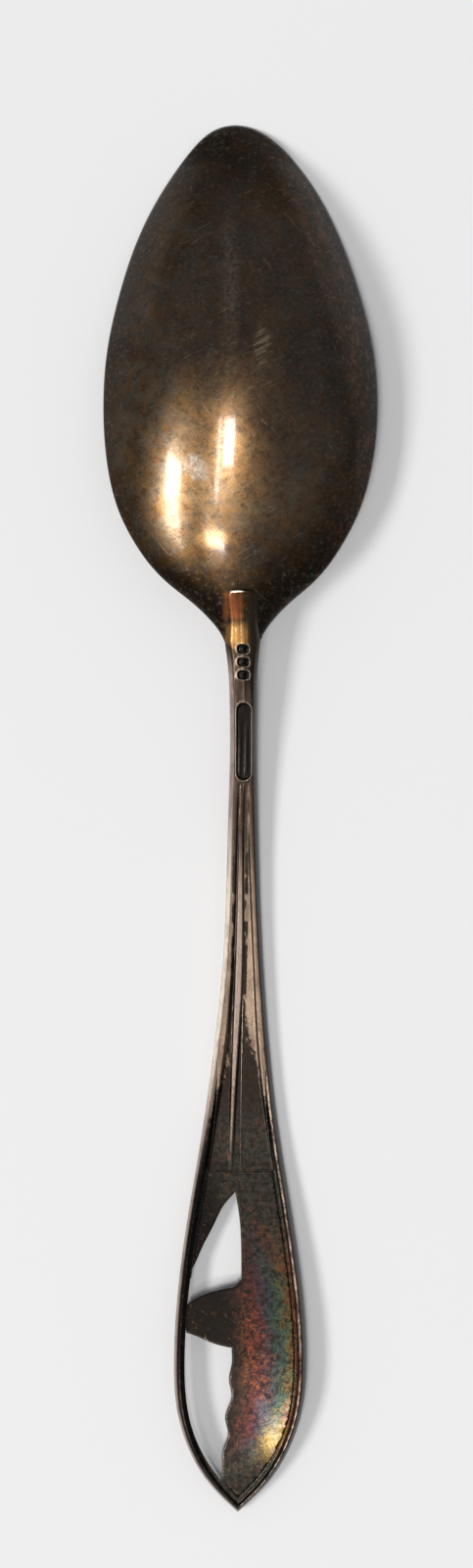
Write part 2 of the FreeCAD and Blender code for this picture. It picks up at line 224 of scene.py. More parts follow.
def surface_normals(height, x, station, step=0.02):
    gx = (height(x + step, station) - height(x - step, station)) / (2 * step)
    gs = (height(x, station + step) - height(x, station - step)) / (2 * step)
    n = np.stack([-gx, -gs, np.ones_like(gx)], -1)
    return n / np.linalg.norm(n, axis=-1, keepdims=True)


def bowl_inside(x, station):
    """The point inside the wall below a point of the back, as x, station and height."""
    n = surface_normals(bowl_back, x, station)
    wall = bowl_wall(station)
    return x - n[..., 0] * wall, station - n[..., 1] * wall, bowl_back(x, station) - n[..., 2] * wall


def build_bowl(rings=76, count=170):
    """The bowl in rings from its middle: out over the back, round the rim and in again over the inside."""
    centre = np.array(BOWL_MIDDLE)
    outline = bowl_outline(count)
    k = len(outline)
    # where the inner surface comes down to the rim's level, along every ray from the middle
    low, high = np.full(k, 0.3), np.ones(k)
    for _ in range(30):
        middle = (low + high) / 2
        p = centre + (outline - centre) * middle[:, None]
        _, s, z = bowl_inside(p[:, 0], p[:, 1])
        inside = z > bowl_rim(s)
        low, high = np.where(inside, middle, low), np.where(inside, high, middle)
    reach = low
    shares = np.linspace(0, 1, rings + 1)[1:] ** 0.85
    points = [row_frame(np.array([centre[0]]), np.array([centre[1]]), bowl_back(*centre)[None])]
    for share in shares:
        p = centre + (outline - centre) * share
        points.append(row_frame(p[:, 0], p[:, 1], bowl_back(p[:, 0], p[:, 1])))
    inner_x, inner_s, _ = bowl_inside(*(centre + (outline - centre) * reach[:, None]).T)
    inward = np.stack([inner_x, inner_s], -1) - outline
    highest = bowl_back(outline[:, 0], outline[:, 1]) - RIM_BELOW_BACK
    for share, lift in RIM_STEPS:
        q = outline + inward * share
        level = np.maximum(bowl_rim(q[:, 1]), 0) + lift
        points.append(row_frame(q[:, 0], q[:, 1], np.minimum(level, highest)))
    for share in shares[::-1]:
        p = centre + (outline - centre) * (reach * share)[:, None]
        x, s, z = bowl_inside(p[:, 0], p[:, 1])
        points.append(row_frame(x, s, np.maximum(z, bowl_rim(s) + (0.0 if share < 1 else INNER_EDGE_LIFT))))
    x, s, z = bowl_inside(*centre)
    points.append(row_frame(np.array([x]), np.array([s]), np.array([z])))
    points = np.concatenate(points)
    reaches = [[0], np.repeat(shares, k), np.ones(len(RIM_STEPS) * k), np.repeat(shares[::-1], k), [0]]
    rows = 2 * rings + len(RIM_STEPS)
    faces = [(0, 1 + j, 1 + (j + 1) % k) for j in range(k)]
    faces += grid_faces(rows, k, start=1, closed=True, flip=True)
    last, first = len(points) - 1, 1 + (rows - 1) * k
    faces += [(last, first + (j + 1) % k, first + j) for j in range(k)]
    return add_piece("bowl_shell", points, [f[::-1] for f in faces], "bowl_silver", ["bowl"],
                     reach=np.concatenate(reaches))


# ---------------------------------------------------------------- stem

GUTTER_OFFSET, GUTTER_WIDTH = 0.66, 0.24
NOSE_DROP = 0.14
NOSE_STEPS = np.array([0.0, 0.04, 0.08, 0.13, 0.2, 0.3, 0.45, 0.6])
LIP_HEIGHT = 0.04
STEM_BACK_POINTS, STEM_FRONT_POINTS = 81, 13
STEM_CORNER, STEM_ROUNDING = 0.16, 0.14


def stem_half(station):
    return np.where(station < LAP_END, tongue_half_width(station), handle_half_width(station))


def bevel(inset):
    """How far the handle's back has fallen at a distance in from its outline."""
    share = np.clip(1 - inset / BEVEL_WIDTH, 0, 1.3)
    return BEVEL_FALL * (0.35 * share + 0.65 * share ** 2)


def rib(x, station):
    rib_half = rib_half_width(station)
    return rib_share(station) * (1 - smoothstep(np.abs(x - rib_middle(station)), rib_half - 0.2, rib_half))


def gutter(x, station):
    """The narrow strips on both sides of the rib where dirt lies, from 0 to 1."""
    return np.exp(-((np.abs(x - rib_middle(station)) - GUTTER_OFFSET) / GUTTER_WIDTH) ** 2)


def hollow(x, station):
    """How far a point lies in one of the two channels: 1 on their floors, 0 on the rims and the rib."""
    inner = stem_half(station) - rim_width(station)
    return (1 - smoothstep(np.abs(x), inner - 0.22, inner + 0.1)) * (1 - rib(x, station))


def stem_back(x, station):
    """Height of the stem's back: sloping sides, rims, channels and a rib, with a crown on the tongue."""
    half = stem_half(station)
    u = np.abs(x)
    crowned = 1 - smoothstep(station, 56, 62)
    crown = crown_fall(station) * crowned * (u / half) ** 4 + (1 - crowned) * bevel(half - u)
    crown = crown + NOSE_DROP * (1 - smoothstep(station, LAP_START - 0.1, LAP_START + 0.16))
    z = back_height(station) - channel_depth(station) * hollow(x, station) - crown
    return z - marks(x, station)


def beyond_marks(x, station):
    """How far a point lies outside the edge of the stamped panel, and of each of the three punches."""
    along = np.clip(station, STAMP_START + STAMP_HALF_WIDTH, STAMP_END - STAMP_HALF_WIDTH)
    gaps = [np.hypot(x, station - along) - STAMP_HALF_WIDTH]
    for centre in PUNCH_STATIONS:
        across, ahead = np.abs(x) * (PUNCH_LENGTH / PUNCH_WIDTH), np.abs(station - centre)
        gaps.append(0.45 * np.maximum(across, ahead) + 0.55 * np.hypot(across, ahead) - PUNCH_LENGTH / 2)
    return gaps


def lips(x, station):
    """The low bank pushed up round each mark, from 0 to 1."""
    return np.max([np.exp(-((gap - 0.05) / 0.09) ** 2) for gap in beyond_marks(x, station)], axis=0)


def marks(x, station):
    """Depth of the plain stamped panel and of the three punches, each punch with a low middle hump."""
    panel, *punches = beyond_marks(x, station)
    depth = 1 - smoothstep(panel, -0.14, 0.02)
    for gap in punches:
        hump = 0.5 * np.exp(-((gap + PUNCH_LENGTH / 2) / 0.18) ** 2)
        depth = depth + (1 - smoothstep(gap, -0.12, 0)) * (1 - hump)
    return STAMP_DEPTH * depth - LIP_HEIGHT * lips(x, station)


def build_stem():
    """The stem as rows of one section: its back, right side, front and left side."""
    stations = np.concatenate([LAP_START + NOSE_STEPS, np.arange(50.0, 54.4, 0.2), np.arange(54.4, 70.0, 0.1),
                               np.arange(70.0, PLAQUE_START, 0.3), [PLAQUE_START]])
    top = np.linspace(-1, 1, STEM_BACK_POINTS)
    rows, fields = [], {"inset": [], "gutter": [], "rib": [], "struck": [], "lip": []}
    for s in stations:
        half = float(stem_half(np.array(s)))
        if s > BORDER_START:
            half -= float(border_width(s))
        x = top * (half - 0.04)
        z = stem_back(x, np.full_like(x, s))
        front_x = np.linspace(half - STEM_CORNER, -half + STEM_CORNER, STEM_FRONT_POINTS)
        if s < LAP_END:
            z = np.maximum(z, bowl_back(x, np.full_like(x, s)) + 0.1)
            bottom = bowl_back(front_x, np.full_like(front_x, s)) - 0.05
        else:
            bottom = np.full_like(front_x, max(0.0, float(front_height(s))))
        deep = min(STEM_ROUNDING, (z[-1] - bottom[0]) * 0.3)
        side_x = np.array([half - 0.01, half, half, half - 0.05])
        right_z = np.array([z[-1] - deep * 0.45, z[-1] - deep, bottom[0] + deep, bottom[0] + deep * 0.3])
        left_z = np.array([z[0] - deep * 0.45, z[0] - deep, bottom[-1] + deep, bottom[-1] + deep * 0.3])
        xs = np.concatenate([x, side_x, front_x, -side_x[::-1]])
        zs = np.concatenate([z, right_z, bottom, left_z[::-1]])
        rows.append(row_frame(xs, np.full_like(xs, s), zs))
        outline = float(handle_half_width(s)) if s > LAP_END else half
        row = np.full_like(xs, s)
        fields["inset"].append(np.sign(xs) * (outline - np.abs(xs)))
        fields["gutter"].append(gutter(xs, row))
        fields["rib"].append(rib(xs, row))
        fields["struck"].append(np.clip(marks(xs, row) / STAMP_DEPTH, 0, 1))
        fields["lip"].append(lips(xs, row))
    n = len(rows[0])
    points = np.concatenate(rows)
    faces = grid_faces(len(rows), n, closed=True)
    faces += [tuple(range(n))[::-1], tuple(len(points) - n + i for i in range(n))]
    return add_piece("stem_bar", points, faces, "stem_silver", ["stem"], **fields)


# ---------------------------------------------------------------- border

BORDER_ROWS, BORDER_BACK_POINTS = 210, 21
SIDE_TOP_OUT, SIDE_TOP_IN, SIDE_FOOT = 0.04, 0.07, 0.25
CORNER_SHARE, CORNER_LIFT, FRONT_LIFT = 0.9, 0.06, 0.002


def border_inner(station):
    return handle_half_width(station) - border_width(station)


def apex(law, low=140.0, high=LENGTH):
    """The station near the handle's point at which a half width comes down to nothing."""
    for _ in range(40):
        middle = (low + high) / 2
        low, high = (middle, high) if law(middle) > 0 else (low, middle)
    return low


def build_border():
    """The border as rows of one rounded section, from the left leg round the point to the right leg."""
    end = apex(border_inner)
    share = np.linspace(0, 1, BORDER_ROWS)
    warp = 1 - (1 - share) ** 1.35
    outer_s = BORDER_START + (LENGTH - BORDER_START) * warp
    inner_s = BORDER_START + (end - BORDER_START) * warp
    rows, widths = [], []
    for so, si in zip(outer_s, inner_s):
        o = np.array([max(0.0, float(handle_half_width(so))), so])
        i = np.array([max(0.0, float(border_inner(si))), si])
        if so >= LENGTH:
            o[0] = i[0] = 0.0
        mid, half = (o + i) / 2, (o - i) / 2
        wide = float(border_width((so + si) / 2))
        widths.append(wide)
        section = []
        for v in np.linspace(-1, 1, BORDER_BACK_POINTS):
            p = mid + half * v
            inset = wide * (1 - v) / 2
            slope = PLAQUE_RECESS * smoothstep(inset, BEVEL_WIDTH + BORDER_RIM / 2, BORDER_WIDTH)
            fall = float(slope + bevel(inset))
            section.append((p[0], p[1], float(back_height(p[1])) - fall))
        z_o, z_i = section[-1][2], section[0][2]
        fo, fi = float(front_height(o[1])), float(front_height(i[1]))
        near_o, near_i = mid + half * CORNER_SHARE, mid - half * CORNER_SHARE
        section += [(*o, z_o - SIDE_TOP_OUT), (*o, fo + SIDE_FOOT), (*near_o, fo + CORNER_LIFT)]
        for v in (0.6, 0.0, -0.6):
            p = mid + half * v
            section.append((*p, float(front_height(p[1])) + FRONT_LIFT))
        section += [(*near_i, fi + CORNER_LIFT), (*i, fi + SIDE_FOOT), (*i, z_i - SIDE_TOP_IN)]
        rows.append(np.array(section))
    right = np.array(rows)
    left = (right * (-1, 1, 1))[:-1]
    loop = np.concatenate([left, right[::-1]])
    # each point's share of the way in from the outline, over the back and then along the sides and the front
    share = np.concatenate([np.linspace(1, 0, BORDER_BACK_POINTS), [0, 0, 0.05, 0.2, 0.5, 0.8, 0.95, 1, 1]])
    inset = np.concatenate([-np.array(widths)[:-1], np.array(widths)[::-1]])[:, None] * share
    n = right.shape[1]
    points = row_frame(loop[..., 0], loop[..., 1], loop[..., 2]).reshape(-1, 3)
    faces = grid_faces(len(loop), n, closed=True)
    faces += [tuple(range(n))[::-1], tuple(len(points) - n + i for i in range(n))]
    return add_piece("border_rim", points, faces, "border_silver", ["terminal_border"], inset=inset)


# ---------------------------------------------------------------- plaque and solder seams

UPPER_OPENING = [[(112.3, -0.5), (113.8, -1.8), (115.9, -2.85), (118.0, -3.95), (120.0, -4.85),
                  (122.0, -6.3)],
                 [(124.4, -6.3), (123.1, -4.0), (122.2, -0.6)],
                 [(121.4, 0.15), (119.0, 0.15), (115.0, -0.05), (112.3, -0.5)]]
LOWER_OPENING_TOP = [(126.6, -7.2), (127.4, -4.5), (128.1, -2.9), (128.6, -0.9)]
LOWER_OPENING_END = (143.0, -2.0)
LOBES, LOBE_DEPTH = 3.5, 0.26
TWIG = Law([(112.5, 1.6), (120, 2.6), (128, 2.2), (136, 0.9), (141, 0.2)])
LEAF_STATIONS, LEAF_LENGTH, LEAF_WIDTH, LEAF_ANGLE = (115, 119.5, 124, 128.5, 133), 3.4, 1.5, 38
TWIG_HEIGHT, LEAF_HEIGHT, VEIN_DEPTH = 0.12, 0.24, 0.05
PLAQUE_GRID = 0.22
GRID_HALF_WIDTH, GRID_END = 6.2, 144.5
SAWN_EDGE = 0.07
SOLDER_RISE = 0.004
UPPER_SEAM_END, POINT_SEAM_ENDS = 121.3, (143.2, 143.1)
BRIDGE_START, BRIDGE_END = 124.0, 126.75
FIELD_END = apex(lambda s: border_inner(s) - SOLDER)


def upper_opening():
    pieces = [spline_through(chain, 24) for chain in UPPER_OPENING]
    pieces[1] = np.concatenate([[(123.2, -8.0), (124.4, -8.0)], pieces[1]])
    return np.concatenate(pieces)[:-1, ::-1]


def lower_opening():
    """The opening below the bridge; its inner side runs in shallow waves like the edge of a leaf."""
    share = np.linspace(0, 1, 60)
    (s0, x0), (s1, x1) = LOWER_OPENING_TOP[-1], LOWER_OPENING_END
    swing = LOBE_DEPTH * np.sin(2 * math.pi * LOBES * share) * np.sin(math.pi * share)
    wave = np.stack([x0 + (x1 - x0) * share ** 1.6 + swing, s0 + (s1 - s0) * share], -1)
    top = spline_through(LOWER_OPENING_TOP, 30)[:, ::-1]
    return np.concatenate([top[:-1], wave, [(LOWER_OPENING_TOP[0][1], s1 - 2.5)]])


def inside(points, loop):
    """Whether each point lies inside a closed loop."""
    x, y = points.T
    found = np.zeros(len(points), bool)
    for (x0, y0), (x1, y1) in zip(loop, np.roll(loop, -1, 0)):
        crosses = (y0 > y) != (y1 > y)
        if crosses.any():
            found ^= crosses & (x < (x1 - x0) * (y - y0) / (y1 - y0 + 1e-12) + x0)
    return found


def near(points, loop, distance):
    """Whether each point lies within a distance of a closed loop."""
    dense = np.concatenate([np.linspace(p, q, 4)[:-1] for p, q in zip(loop, np.roll(loop, -1, 0))])
    gap = np.full(len(points), 9.0)
    for chunk in np.array_split(dense, 8):
        across, along = (points[:, None, axis] - chunk[:, axis] for axis in (0, 1))
        gap = np.minimum(gap, np.hypot(across, along).min(1))
    return gap < distance


def plaque_back(x, station):
    share = np.minimum(1.2, np.abs(x) / np.maximum(handle_half_width(station) - BORDER_WIDTH, 1.5))
    return back_height(station) - PLAQUE_RECESS - dish_depth(station) * (1 - share ** 2)


def leaf_relief(x, station):
    """Height of the leaf spray on the plaque's front."""
    twig = 1 - smoothstep(np.abs(x - TWIG(station)), 0.1, 0.3)
    height = TWIG_HEIGHT * twig * (np.abs(station - 127) < 14)
    for start in LEAF_STATIONS:
        for side in (-1, 1):
            angle = math.radians(LEAF_ANGLE) * side
            dx, ds = x - float(TWIG(start)), station - start
            along = (dx * math.sin(angle) + ds * math.cos(angle)) / LEAF_LENGTH
            across = np.abs(dx * math.cos(angle) - ds * math.sin(angle)) / (LEAF_WIDTH / 2)
            width = np.sin(math.pi * np.clip(along, 0, 1) ** 0.8)
            blade = smoothstep(width - across, 0.0, 0.45)
            vein = VEIN_DEPTH * np.exp(-(across / 0.14) ** 2) * blade
            height = np.maximum(height, LEAF_HEIGHT * blade - vein)
    return height


def build_plaque():
    """The pierced sheet: one mesh of triangles, used for its back and its front, with walls between."""
    s = np.linspace(PLAQUE_START + SOLDER, FIELD_END, 120)
    right = np.stack([np.maximum(border_inner(s) - SOLDER, 0), s], -1)
    field = np.concatenate([right, (right * (-1, 1))[-2::-1]])
    loops = [field, upper_opening(), lower_opening()]
    xs = np.arange(-GRID_HALF_WIDTH, GRID_HALF_WIDTH, PLAQUE_GRID)
    rows = np.arange(PLAQUE_START, GRID_END, PLAQUE_GRID * 0.87)
    grid = np.array([(x + (i % 2) * PLAQUE_GRID / 2, y) for i, y in enumerate(rows) for x in xs])
    keep = inside(grid, loops[0]) & ~inside(grid, loops[1]) & ~inside(grid, loops[2])
    for loop in loops:
        grid = grid[keep]
        keep = ~near(grid, loop, PLAQUE_GRID * 0.6)
    grid = grid[keep]
    verts, edges = [], []
    for loop in loops:
        base = len(verts)
        verts += [Vector(p) for p in loop]
        edges += [(base + i, base + (i + 1) % len(loop)) for i in range(len(loop))]
    verts += [Vector(p) for p in grid]
    flat, _, triangles, *_ = delaunay_2d_cdt(verts, edges, [], 0, 1e-5)
    flat = np.array([tuple(v) for v in flat])
    triangles = np.array([t for t in triangles if len(t) == 3])
    middle = flat[triangles].mean(1)
    triangles = triangles[inside(middle, loops[0]) & ~inside(middle, loops[1]) & ~inside(middle, loops[2])]
    used = np.unique(triangles)
    index = np.full(len(flat), -1)
    index[used] = np.arange(len(used))
    flat, triangles = flat[used], index[triangles]
    first, second, third = flat[triangles].transpose(1, 0, 2)
    turn = np.cross(second - first, third - first)
    triangles[turn > 0] = triangles[turn > 0][:, ::-1]   # stations run towards -Y, so this turns faces up
    x, s = flat.T
    top = row_frame(x, s, plaque_back(x, s))
    front = row_frame(x, s, plaque_back(x, s) - PLAQUE_WALL - leaf_relief(x, s))
    n = len(flat)
    sides = dict.fromkeys(e for a, b, c in triangles for e in ((a, b), (b, c), (c, a)))
    walls = [(b, a, a + n, b + n) for a, b in sides if (b, a) not in sides]
    faces = list(triangles) + list(triangles[:, ::-1] + n) + walls
    points = np.concatenate([top, front])
    piece = add_piece("plaque_sheet", points, faces, "plaque_silver", ["relief_plaque"])
    # the edges of the openings are softened; those that meet the solder stay sharp
    fitted = (np.abs(x) > border_inner(s) - 1.2 * SOLDER) | (s < PLAQUE_START + 1.2 * SOLDER)
    for face in piece.data.polygons[2 * len(triangles):]:
        face.use_smooth = not all(fitted[v % n] for v in face.vertices)
    sawn = {frozenset(e) for e in sides if e[::-1] not in sides and not (fitted[e[0]] and fitted[e[1]])}
    weights = [float(a // n == b // n and frozenset((a % n, b % n)) in sawn)
               for a, b in (edge.vertices for edge in piece.data.edges)]
    piece.data.attributes.new("bevel_weight_edge", "FLOAT", "EDGE").data.foreach_set("value", weights)
    soften = piece.modifiers.new("soft edges", "BEVEL")
    soften.width = SAWN_EDGE * MM
    soften.segments = 2
    soften.limit_method = "WEIGHT"
    return piece


def ribbon(name, outer, inner, top, bottom, replaced):
    """A thin strip of solder between two lines, given as x and station, with a slightly raised middle."""
    middle = (outer + inner) / 2
    plan = np.stack([outer, middle, inner, inner, outer], 1)
    z = np.stack([top(*outer.T), top(*middle.T) + SOLDER_RISE, top(*inner.T), bottom(*inner.T),
                  bottom(*outer.T)], 1)
    points = row_frame(plan[..., 0], plan[..., 1], z)
    n = points.shape[1]
    faces = grid_faces(len(points), n, closed=True)
    last = (len(points) - 1) * n
    faces += [tuple(range(n))[::-1], tuple(last + i for i in range(n))]
    strip = add_piece(name, points.reshape(-1, 3), faces, "solder", replaced)
    for polygon in strip.data.polygons:
        polygon.use_smooth = False
    return strip


def field_line(start, end, half_width, side, count=60):
    """Points, as x and station, along one side of the handle's end: -1 is the left and 1 the right."""
    s = np.linspace(start, end, count)
    return np.stack([side * np.maximum(half_width(s), 0), s], -1)


def build_plaque_seam():
    """The seam round the plaque: up the left, across the stem's end, down the right and round the point."""
    end = apex(border_inner)
    inner_half = lambda s: border_inner(s) - SOLDER
    across = lambda half, s: np.stack([np.linspace(-half, half, 12)[1:-1], np.full(10, s)], -1)
    outer = np.concatenate([field_line(UPPER_SEAM_END, PLAQUE_START, border_inner, -1),
                            across(float(border_inner(PLAQUE_START)), PLAQUE_START),
                            field_line(PLAQUE_START, end, border_inner, 1, 120),
                            field_line(end, POINT_SEAM_ENDS[0], border_inner, -1, 8)[1:]])
    top_s = PLAQUE_START + SOLDER
    inner = np.concatenate([field_line(UPPER_SEAM_END, top_s, inner_half, -1),
                            across(float(inner_half(top_s)), top_s),
                            field_line(top_s, FIELD_END, inner_half, 1, 120),
                            field_line(FIELD_END, POINT_SEAM_ENDS[1], inner_half, -1, 8)[1:]])
    return ribbon("plaque_seam", outer, inner, plaque_back, lambda x, s: plaque_back(x, s) - PLAQUE_WALL,
                  ["plaque_solder_seam"])


def build_bridge_seam():
    """The seam between the plaque's bridge and the border's left side."""
    outer = field_line(BRIDGE_START, BRIDGE_END, border_inner, -1, 12)
    return ribbon("bridge_seam", outer, outer + (SOLDER, 0), plaque_back,
                  lambda x, s: plaque_back(x, s) - PLAQUE_WALL, ["bridge_solder_seam"])


def build_bowl_seam():
    """A fine fillet of solder round the tongue on the bowl's back."""
    s = LAP_START + (LAP_END - LAP_START) * np.linspace(1, 0, 30) ** 1.6
    side = np.stack([tongue_half_width(s), s], -1)
    nose = np.stack([np.linspace(side[-1, 0], -side[-1, 0], 10)[1:-1], np.full(8, LAP_START)], -1)
    line = np.concatenate([side, nose, (side * (-1, 1))[::-1]])
    away = np.gradient(line, axis=0)[:, ::-1] * (1, -1)
    away /= np.linalg.norm(away, axis=1, keepdims=True)
    return ribbon("tongue_seam", line - away * 0.03, line + away * 0.12, lambda x, s: bowl_back(x, s) + 0.03,
                  lambda x, s: bowl_back(x, s) - 0.04, ["bowl_solder_seam"])


bowl_piece = build_bowl()
stem_piece = build_stem()
border_piece = build_border()
plaque_piece = build_plaque()
seams = [build_plaque_seam(), build_bridge_seam(), build_bowl_seam()]

# ---------------------------------------------------------------- stage

CAMERA_DISTANCE = 0.62
CAMERA_LEAN = math.radians(2.5)
FRAME_HEIGHT = 0.1653
TARGET = Vector((-0.00028, 0.0036, 0.0))
SENSOR = 36.0
FLOOR_HALF, FLOOR_DROP, FLOOR_COLOUR = 0.8, 2e-5, (0.6, 0.615, 0.648, 1)
WORLD_COLOUR = (0.35, 0.35, 0.35, 1)
PANEL_HEIGHT = 4.0
LIGHT_COLOUR = (1, 0.96, 0.9)
# the place on the bowl's back, in millimetres, from which the panels' angles are taken
CROWN = (-1.5, 39.0, 10.8)


def add_camera():
    """A camera almost straight above, leaning slightly to the spoon's left."""
    data = bpy.data.cameras.new("camera")
    data.sensor_fit = "VERTICAL"
    data.sensor_height = SENSOR
    data.lens = SENSOR * CAMERA_DISTANCE / FRAME_HEIGHT
    camera = bpy.data.objects.new("camera", data)
    camera.location = TARGET + Vector((-math.sin(CAMERA_LEAN), 0, math.cos(CAMERA_LEAN))) * CAMERA_DISTANCE
    camera.rotation_euler = (0, -CAMERA_LEAN, 0)
    bpy.context.scene.collection.objects.link(camera)
    bpy.context.scene.camera = camera


def add_floor():
    mesh = bpy.data.meshes.new("floor")
    corners = [(x * FLOOR_HALF, y * FLOOR_HALF, -FLOOR_DROP) for x, y in ((-1, -1), (1, -1), (1, 1), (-1, 1))]
    mesh.from_pydata(corners, [], [(0, 1, 2, 3)])
    floor = bpy.data.objects.new("floor", mesh)
    bpy.context.scene.collection.objects.link(floor)
    material = bpy.data.materials.new("floor_paper")
    material.use_nodes = True
    shader = material.node_tree.nodes["Principled BSDF"]
    shader.inputs["Base Color"].default_value = FLOOR_COLOUR
    shader.inputs["Roughness"].default_value = 0.9
    mesh.materials.append(material)


def add_light(name, across, along, brightness, turn=0.0):
    """A level soft panel overhead, seen from CROWN between two angles from the vertical, across and along."""
    (x0, x1), (y0, y1) = [[math.tan(math.radians(v)) for v in pair] for pair in (across, along)]
    lit_point = Vector(CROWN) * MM
    rise = PANEL_HEIGHT - lit_point.z
    data = bpy.data.lights.new(name, "AREA")
    data.shape = "RECTANGLE"
    data.size, data.size_y = (x1 - x0) * rise, (y1 - y0) * rise
    data.energy = math.pi * data.size * data.size_y * brightness
    data.color = LIGHT_COLOUR
    light = bpy.data.objects.new(name, data)
    light.location = lit_point + Vector(((x0 + x1) / 2, (y0 + y1) / 2, 1)) * rise
    light.rotation_euler.z = math.radians(turn)
    bpy.context.scene.collection.objects.link(light)


# ---------------------------------------------------------------- paint

TALL = 100   # a patch's third radius, in millimetres, so that height plays no part in it


class Paint:
    """A node material in the making. Lengths in it are millimetres in the spoon's own frame."""

    def __init__(self, name):
        self.material = bpy.data.materials.new(name)
        self.material.use_nodes = True
        self.tree = self.material.node_tree
        self.shader = self.tree.nodes["Principled BSDF"]
        coordinates = self.add("TexCoord").outputs["Object"]
        self.place = self.add("VectorMath", [coordinates, (1 / MM,) * 3], operation="MULTIPLY").outputs[0]
        self.x, self.y, self.z = self.add("SeparateXYZ", [self.place]).outputs

    def add(self, kind, inputs=(), **settings):
        """A node of a kind, with its settings and its inputs, by position or as (name, value) pairs."""
        node = self.tree.nodes.new("ShaderNode" + kind)
        for key, value in settings.items():
            setattr(node, key, value)
        for key, value in (inputs.items() if isinstance(inputs, dict) else enumerate(inputs)):
            if isinstance(value, bpy.types.NodeSocket):
                self.tree.links.new(value, node.inputs[key])
            else:
                node.inputs[key].default_value = value
        return node

    def math(self, operation, *values):
        return self.add("Math", values, operation=operation).outputs[0]

    def times(self, one, other):
        return self.math("MULTIPLY", one, other)

    def field(self, name):
        return self.add("Attribute", attribute_name=name).outputs["Fac"]

    def mapped(self, middle, turns, sizes):
        """The place as seen in a frame with its own middle, turns and sizes."""
        return self.add("Mapping", [self.place, middle, turns, sizes], vector_type="TEXTURE").outputs[0]

    def noise(self, size, detail=4.0, rough=0.55, stretch=(1, 1, 1), turn=0.0, shift=0.0, warp=0.0):
        """Clouds whose lumps are about the given size."""
        vector = self.mapped((shift, shift * 0.7, 0), (0, 0, turn), stretch)
        return self.add("TexNoise", {"Vector": vector, "Scale": 1 / size, "Detail": detail,
                                     "Roughness": rough, "Distortion": warp}).outputs[0]

    def step(self, value, low, high, start=0.0, end=1.0):
        """A smooth step from start to end as the value goes from low to high."""
        inputs = [value, low, high, start, end]
        return self.add("MapRange", inputs, interpolation_type="SMOOTHSTEP").outputs[0]

    def mix(self, share, one, other, kind="MIX"):
        node = self.add("MixRGB", [share], blend_type=kind)
        for key, value in ((1, one), (2, other)):
            if isinstance(value, bpy.types.NodeSocket):
                self.tree.links.new(value, node.inputs[key])
            else:
                node.inputs[key].default_value = (*value, 1)
        return node.outputs[0]

    def ramp(self, value, stops):
        """Colours along a value; stops are (position, colour) pairs."""
        node = self.add("ValToRGB", [value])
        elements = node.color_ramp.elements
        while len(elements) < len(stops):
            elements.new(1.0)
        for element, (position, colour) in zip(elements, stops):
            element.position, element.color = position, (*colour, 1)
        return node.outputs[0]

    def spot(self, centre, radii, wobble=0.5, soft=0.5, size=2.0, turn=0.0):
        """A soft-edged patch round a point (x, station), ragged by noise."""
        middle = (centre[0], LENGTH / 2 - centre[1], 0)
        local = self.mapped(middle, (0, 0, turn), (*radii, TALL))
        far = self.add("VectorMath", [local], operation="LENGTH").outputs["Value"]
        ragged = self.math("MULTIPLY_ADD", self.noise(size, shift=centre[1]), wobble * 2, -wobble)
        return self.step(self.math("ADD", far, ragged), 1 + soft, 1 - soft)

    def block(self, across, along, soft):
        """A patch with soft, wavering sides between two values of x and two stations."""
        waver = self.math("MULTIPLY_ADD", self.noise(0.9, 4.0, shift=along[0]), 1.0, -0.5)
        share = 1.0
        for value, (low, high) in ((self.x, across), (self.math("SUBTRACT", LENGTH / 2, self.y), along)):
            value = self.math("ADD", value, waver)
            share = self.times(share, self.step(value, low - soft, low + soft))
            share = self.times(share, self.step(value, high + soft, high - soft))
        return share

    def scratches(self, turn, size=0.5, amount=0.62, shift=0.0):
        """Fine scratches in one direction, in patches."""
        lines = self.noise(size, 3.0, 0.6, (14, 0.35, 1), turn, shift)
        patches = self.noise(6.0, 2.0, shift=shift + 5)
        return self.times(self.step(lines, amount, amount + 0.07), self.step(patches, 0.45, 0.62))

    def bump(self, *layers):
        """Unevenness built up from (height, depth in mm) pairs."""
        normal = None
        for height, depth in layers:
            inputs = {"Height": height, "Distance": depth * MM, "Strength": 1.0}
            if normal:
                inputs["Normal"] = normal
            normal = self.add("Bump", inputs).outputs[0]
        return normal

    def finish(self, colour, roughness, normal, coat):
        """The finished metal, with what varies over it joined to the shader."""
        parts = {"Base Color": colour, "Roughness": roughness, "Normal": normal, "Coat Weight": coat}
        for key, value in parts.items():
            self.tree.links.new(value, self.shader.inputs[key])
        self.shader.inputs["Metallic"].default_value = 1
        self.shader.inputs["Coat Roughness"].default_value = 0.1
        return self.material


# ---------------------------------------------------------------- metals

# painted reflections: the copper and gold that the saddle between bowl and neck reflects
COPPER_REFLECTION, GOLD_REFLECTION = (0.13, 0.044, 0.017), (0.22, 0.118, 0.04)
# painted light on the handle's left side, bright and dim, and painted shade on its right side
BRIGHT_LIT_SIDE, DIM_LIT_SIDE, SHADED_EDGE = (0.97, 0.85, 0.7), (0.4, 0.31, 0.26), (0.055, 0.05, 0.048)


def worn(p, rough, depth, polish):
    """Roughness, unevenness and scratches of all the silver, with polished and dull grains."""
    lumps = p.noise(1.6, 3.0)
    grain = p.noise(0.2, 3.0, 0.6)
    cuts = p.math("MAXIMUM", p.scratches(0.5), p.scratches(-0.9, shift=9.0))
    level = p.step(p.noise(0.16, 4.0, 0.7, shift=4), 0.42, 0.6, rough - polish, rough)
    level = p.math("ADD", level, p.math("MULTIPLY_ADD", p.noise(2.5, 5.0), 0.14, -0.07))
    rough = p.math("MULTIPLY_ADD", cuts, 0.08, level)
    return rough, p.bump((lumps, depth * 4), (grain, depth), (cuts, -depth)), cuts


def grey(p, value):
    return p.add("CombineXYZ", [value, value, value]).outputs[0]


